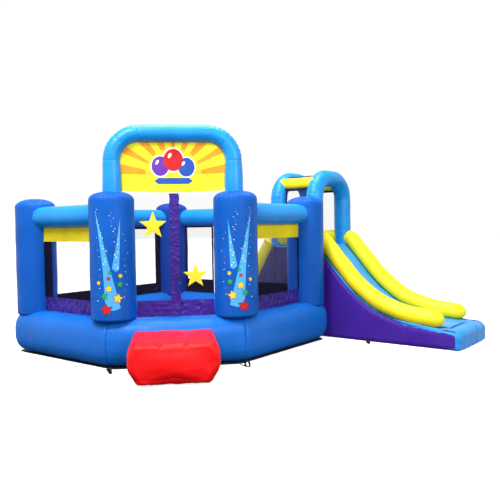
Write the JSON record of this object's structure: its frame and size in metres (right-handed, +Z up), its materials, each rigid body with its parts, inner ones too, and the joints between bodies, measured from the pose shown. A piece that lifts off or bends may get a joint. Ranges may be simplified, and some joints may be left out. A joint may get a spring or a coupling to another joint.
{
  "type": "inflatable bounce house",
  "caption": "Inflatable bounce house with corner columns, net walls, curtained entrance with a step and an arch, and a climbing ramp, tower and slide behind it.",
  "frame": {"origin": "on the ground, in the middle of the footprint of the inflated house with its slide", "axes": "+Z up; +X is the way the slide runs, from the tower to its landing; the curtained entrance faces half way between +X and -Y"},
  "size_m": [4.5238, 4.237, 2.5585],
  "materials": {
    "column_blue": "satin PVC-coated oxford",
    "ring_blue": "satin PVC-coated oxford",
    "sky_blue": "satin PVC-coated oxford",
    "inner_blue": "matte oxford",
    "yellow": "satin PVC-coated oxford",
    "purple": "matte oxford",
    "white_net": "open net, small holes",
    "dark_net": "open net, small holes",
    "navy": "matte oxford",
    "corner_blue": "matte oxford",
    "star_yellow": "matte oxford",
    "red": "satin PVC-coated oxford",
    "slide_purple": "satin PVC-coated oxford",
    "bed_blue": "satin PVC-coated oxford",
    "slide_yellow": "satin PVC-coated oxford",
    "tower_blue": "satin PVC-coated oxford",
    "handhold_orange": "matte oxford",
    "webbing_black": "matte woven strap",
    "ground_grey": "matte coated sheet",
    "blower_shell": "moulded, fine texture",
    "blower_guard": "matte",
    "motor_casing": "matte",
    "impeller_black": "matte",
    "switch_red": "gloss",
    "sleeve_blue": "matte oxford",
    "zip_black": "matte"
  },
  "bodies": {
    "house": {"anchor_straps": "webbing_black", "back_column": "column_blue", "banner_arch": "sky_blue", "banner_panel": "yellow", "base_tube_back_left": "ring_blue", "base_tube_back_right": "ring_blue", "base_tube_front": "ring_blue", "base_tube_front_left": "ring_blue", "base_tube_right": "ring_blue", "blower_grille": "blower_guard", "blower_housing": "blower_shell", "blower_motor": "motor_casing", "border_back_left": "navy", "border_back_right": "navy", "bounce_floor": "inner_blue", "climb_guard": "slide_yellow", "climb_pad": "slide_purple", "climb_rails": "slide_yellow", "climb_ramp": "slide_purple", "climb_steps": "handhold_orange", "corner_strip": "corner_blue", "deck_rails": "slide_yellow", "deflation_zip": "zip_black", "entrance_step": "red", "front_left_column": "column_blue", "front_nets": "white_net", "front_right_column": "column_blue", "ground_sheet": "ground_grey", "inflation_sleeve": "sleeve_blue", "joining_flaps": "inner_blue", "left_column": "column_blue", "net_back_left": "white_net", "net_back_right": "white_net", "right_column": "column_blue", "skirts": "purple", "slide_bed": "bed_blue", "slide_bolsters": "slide_yellow", "slide_core": "slide_purple", "slide_sides": "slide_purple", "top_tube_back_left": "sky_blue", "top_tube_back_right": "sky_blue", "top_tube_front_left": "sky_blue", "top_tube_right": "sky_blue", "tower_arch_climb": "tower_blue", "tower_arch_slide": "tower_blue", "tower_body": "slide_purple", "tower_deck": "bed_blue", "tower_nets": "dark_net", "tower_roof_net": "dark_net", "tower_roof_tubes": "slide_yellow", "valances": "yellow"},
    "door_left": {"door_left_net": "white_net", "door_left_trim": "purple", "star_upper": "star_yellow"},
    "door_right": {"door_right_net": "white_net", "door_right_trim": "purple", "star_lower": "star_yellow"},
    "impeller": {"blower_impeller": "impeller_black"},
    "switch": {"blower_switch": "switch_red"},
    "flap": {"deflation_flap": "inner_blue"}
  },
  "joints": [
    {"name": "door_left_swing", "type": "hinge", "parent": "house", "child": "door_left", "pos_m": [-0.35269, -1.36857, 0], "axis": [0, 0, -1], "range_deg": [0, 90]},
    {"name": "door_right_swing", "type": "hinge", "parent": "house", "child": "door_right", "pos_m": [0.22149, -0.77743, 0], "axis": [0, 0, -1], "range_deg": [0, 90]},
    {"name": "impeller_spin", "type": "hinge", "parent": "house", "child": "impeller", "pos_m": [-1.80115, 1.58755, 0.19], "axis": [1, 0, 0], "continuous": true},
    {"name": "switch_rock", "type": "hinge", "parent": "house", "child": "switch", "pos_m": [-1.66515, 1.58755, 0.2605], "axis": [0, 1, 0], "range_deg": [0, 16]},
    {"name": "flap_lift", "type": "hinge", "parent": "house", "child": "flap", "pos_m": [-2.25985, 0.10255, 0.3], "axis": [0, 1, 0], "range_deg": [0, 110]}
  ]
}
